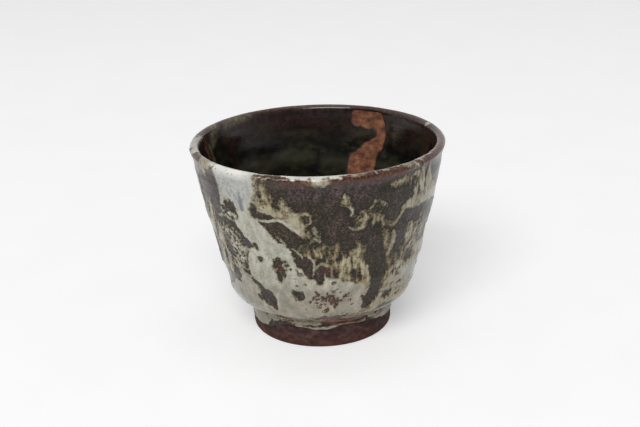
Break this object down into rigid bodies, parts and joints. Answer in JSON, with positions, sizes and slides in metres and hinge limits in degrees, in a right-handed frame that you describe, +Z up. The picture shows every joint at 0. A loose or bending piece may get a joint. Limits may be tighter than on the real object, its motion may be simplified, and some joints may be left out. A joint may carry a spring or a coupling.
{
  "type": "tea bowl",
  "caption": "Flared stoneware tea bowl on a turned foot ring, dark glazed inside, with pale poured glaze over a dark coat outside and a bare clay foot.",
  "frame": {"origin": "centre of the foot ring's flat resting face", "axes": "+Z up along the bowl's axis, -Y towards the side that the picture shows, +X to the right of that view"},
  "size_m": [0.1098, 0.1098, 0.0855],
  "materials": {
    "bare_clay": "matt fired stoneware, orange brown",
    "foot_clay": "matt fired stoneware, rust to purple brown",
    "liner_coat": "glossy black olive iron glaze",
    "dark_coat": "satin brown purple iron glaze",
    "lip_coat": "cream glaze broken to rust over the lip",
    "apron_coat": "thin grey white glaze broken to rust",
    "pale_coat": "thick grey white ash glaze, cream where thin"
  },
  "bodies": {
    "root": {"clay_bowl": "bare_clay", "foot_ring": "foot_clay", "liner_glaze": "liner_coat", "outer_glaze": "dark_coat", "rim_glaze": "lip_coat", "foot_glaze": "apron_coat", "pale_pour_front": "pale_coat", "pale_pour_upper": "pale_coat", "pale_pour_right": "pale_coat", "pale_pour_back": "pale_coat", "pale_pour_far_left": "pale_coat"}
  },
  "joints": []
}
